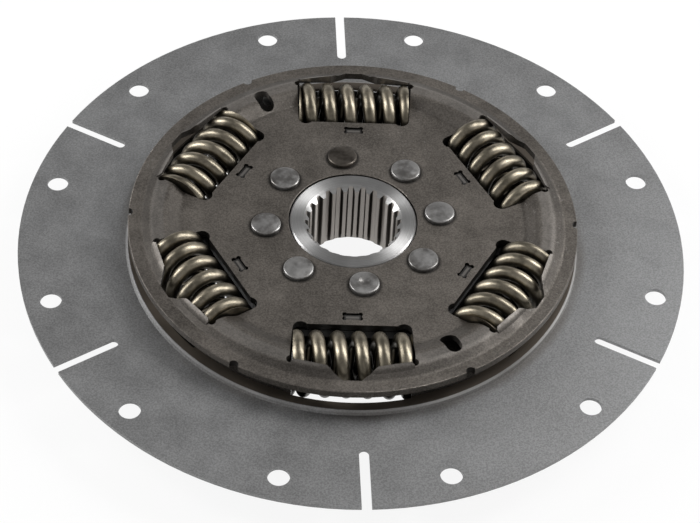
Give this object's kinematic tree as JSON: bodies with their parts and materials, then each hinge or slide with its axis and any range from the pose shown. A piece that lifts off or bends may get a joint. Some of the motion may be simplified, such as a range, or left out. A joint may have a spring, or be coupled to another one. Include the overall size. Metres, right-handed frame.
{
  "type": "clutch disc",
  "caption": "Flywheel-mounted clutch disc: a thin slotted bolting plate drives a splined hub through coil springs held between two riveted cover plates.",
  "frame": {"origin": "centre of the flywheel bolt circle, on the rear face of the flex plate's bolting ring", "axes": "+Z along the hub axis, out of the front side where the hub ends flush with the cover; +X between two of the bolt holes"},
  "size_m": [0.3466, 0.3464, 0.0472],
  "materials": {
    "flex_plate": "dull, lightly scuffed",
    "drive_disc": "dull",
    "rivets": "dull",
    "front_cover": "dull, blotchy",
    "rear_cover": "dull, blotchy",
    "hub": "turned",
    "bush": "matt",
    "friction_rings": "matt",
    "spring_washer": "dull",
    "outer_springs": "shot-peened, tempered",
    "inner_springs": "shot-peened, tempered"
  },
  "bodies": {
    "drive": {"flex_plate": "flex_plate", "drive_disc": "drive_disc", "drive_rivets": "rivets"},
    "springs": {"outer_spring_1": "outer_springs", "outer_spring_2": "outer_springs", "outer_spring_3": "outer_springs", "outer_spring_4": "outer_springs", "outer_spring_5": "outer_springs", "outer_spring_6": "outer_springs", "inner_spring_1": "inner_springs", "inner_spring_2": "inner_springs", "inner_spring_3": "inner_springs", "inner_spring_4": "inner_springs", "inner_spring_5": "inner_springs", "inner_spring_6": "inner_springs"},
    "driven": {"front_cover": "front_cover", "rear_cover": "rear_cover", "hub": "hub", "hub_rivets": "rivets", "centring_bush": "bush", "front_friction_ring": "friction_rings", "rear_friction_ring": "friction_rings", "spring_washer": "spring_washer"}
  },
  "joints": [
    {"name": "damper_windup", "type": "hinge", "parent": "drive", "child": "driven", "pos_m": [0, 0, 0.0062], "axis": [0, 0, 1], "range_deg": [-6, 6], "stiffness_Nm_per_rad": 15500, "deforming": ["outer_spring_1", "outer_spring_2", "outer_spring_3", "outer_spring_4", "outer_spring_5", "outer_spring_6", "inner_spring_1", "inner_spring_2", "inner_spring_3", "inner_spring_4", "inner_spring_5", "inner_spring_6"]},
    {"name": "spring_follow", "type": "hinge", "parent": "drive", "child": "springs", "pos_m": [0, 0, 0.0062], "axis": [0, 0, 1], "range_deg": [-3, 3]}
  ],
  "couplings": [
    {"joint": "spring_follow", "follows": "damper_windup", "ratio": 0.5}
  ]
}
